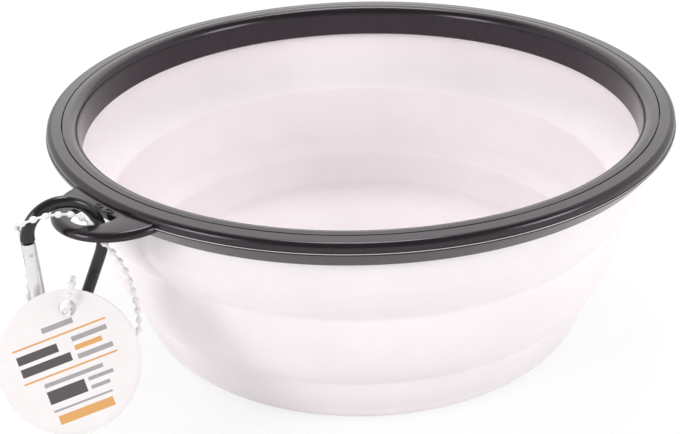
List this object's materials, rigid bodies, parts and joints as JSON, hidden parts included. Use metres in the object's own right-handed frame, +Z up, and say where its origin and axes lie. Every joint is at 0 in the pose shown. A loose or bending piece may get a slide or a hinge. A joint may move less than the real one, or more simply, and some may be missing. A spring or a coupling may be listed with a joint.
{
  "type": "collapsible bowl",
  "caption": "Round collapsible travel bowl of soft silicone that folds flat in tiers into a hard rim, with a hanging tab, a snap carabiner and a round card tag on a string tie.",
  "frame": {"origin": "centre of the base's underside, on the surface the open bowl stands on", "axes": "+Z up through the mouth, the hanging tab points along -X"},
  "size_m": [0.2187, 0.183, 0.0736],
  "materials": {
    "rim_plastic": "satin black, fine grain",
    "silicone": "soft matt, pinkish white",
    "black_metal": "gloss black coat",
    "gate_metal": "drawn, plain",
    "pin_steel": "plain",
    "tie_plastic": "milky white nylon",
    "tag_card": "coated card with plain printed bars"
  },
  "bodies": {
    "rim": {"outer_rim_ring": "rim_plastic", "hanging_tab": "rim_plastic", "inner_rim_ring": "rim_plastic", "bowl_collar": "silicone", "upper_fold": "silicone"},
    "middle": {"middle_tier": "silicone", "lower_fold": "silicone"},
    "base": {"base_cup": "silicone"},
    "carabiner": {"carabiner_body": "black_metal", "tag_tie": "tie_plastic", "tie_lock": "tie_plastic"},
    "gate": {"carabiner_gate": "gate_metal", "gate_pivot_pin": "pin_steel", "gate_latch_pin": "pin_steel", "gate_plunger": "pin_steel", "gate_spring": "pin_steel"},
    "tag": {"hang_tag": "tag_card"}
  },
  "joints": [
    {"name": "upper_fold_slide", "type": "slide", "parent": "rim", "child": "middle", "axis": [0, 0, 1], "range_m": [0, 0.024], "deforming": ["upper_fold"]},
    {"name": "lower_fold_slide", "type": "slide", "parent": "middle", "child": "base", "axis": [0, 0, 1], "range_m": [0, 0.014], "deforming": ["lower_fold"]},
    {"name": "carabiner_swing", "type": "hinge", "parent": "rim", "child": "carabiner", "pos_m": [-0.1034, 0.0017, 0.0637], "axis": [0.3907, 0.9205, 0], "range_deg": [0, 90]},
    {"name": "gate_open", "type": "hinge", "parent": "carabiner", "child": "gate", "pos_m": [-0.11113, 0.00498, 0.037], "axis": [0.3907, 0.9205, 0], "range_deg": [0, 25], "stiffness_Nm_per_rad": 0.03, "springref_deg": -17.19},
    {"name": "tag_swing", "type": "hinge", "parent": "carabiner", "child": "tag", "pos_m": [-0.10932, -0.00477, 0.04818], "axis": [-0.6691, 0.7431, 0], "range_deg": [0, 40]}
  ]
}
